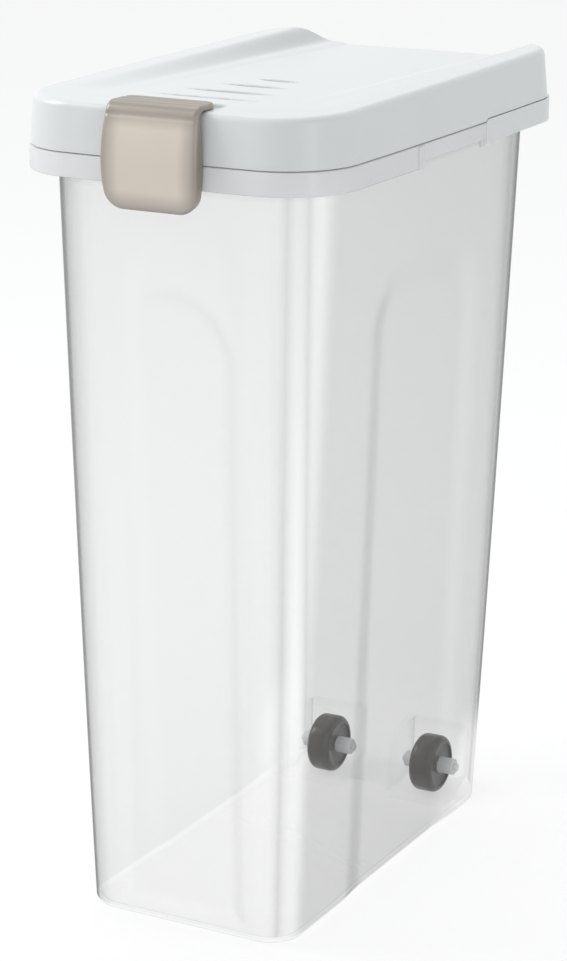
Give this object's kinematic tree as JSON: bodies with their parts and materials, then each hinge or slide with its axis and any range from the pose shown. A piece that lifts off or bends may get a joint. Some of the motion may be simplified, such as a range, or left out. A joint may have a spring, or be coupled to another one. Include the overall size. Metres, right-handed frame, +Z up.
{
  "type": "pet food storage bin",
  "caption": "Tall tapered see-through bin for dry pet food, with a hinged lid, a front latch, side grips under the rim and rear wheels for tilting and rolling.",
  "frame": {"origin": "on the floor, below the centre of the mouth, on the flat underside that the bin stands on", "axes": "+Z up, -Y towards the front with the latch, +X across the width to the right seen from the front"},
  "size_m": [0.2516, 0.428, 0.5987],
  "materials": {
    "clear_polypropylene": "milky translucent, smooth moulded",
    "white_lid_plastic": "satin pale grey-white",
    "seal_rubber": "matte soft",
    "pearl_latch_plastic": "pearl taupe, satin",
    "wheel_plastic": "satin warm dark grey",
    "axle_plastic": "natural pale",
    "pin_steel": "drawn wire"
  },
  "bodies": {
    "tub": {"bin_tub": "clear_polypropylene", "rear_collar": "white_lid_plastic", "latch_pin": "pin_steel", "hinge_pin_left": "pin_steel", "hinge_pin_right": "pin_steel", "axle_left": "axle_plastic", "axle_right": "axle_plastic"},
    "lid": {"lid": "white_lid_plastic", "lid_seal": "seal_rubber"},
    "latch": {"front_latch": "pearl_latch_plastic"},
    "wheel_left": {"wheel_left": "wheel_plastic"},
    "wheel_right": {"wheel_right": "wheel_plastic"}
  },
  "joints": [
    {"name": "lid_hinge", "type": "hinge", "parent": "tub", "child": "lid", "pos_m": [0, 0.21, 0.556], "axis": [-1, 0, 0], "range_deg": [0, 110]},
    {"name": "latch_hinge", "type": "hinge", "parent": "tub", "child": "latch", "pos_m": [0, -0.204, 0.537], "axis": [1, 0, 0], "range_deg": [0, 110]},
    {"name": "wheel_left_spin", "type": "hinge", "parent": "tub", "child": "wheel_left", "pos_m": [-0.046, 0.137, 0.024], "axis": [1, 0, 0], "continuous": true},
    {"name": "wheel_right_spin", "type": "hinge", "parent": "tub", "child": "wheel_right", "pos_m": [0.046, 0.137, 0.024], "axis": [1, 0, 0], "continuous": true}
  ]
}
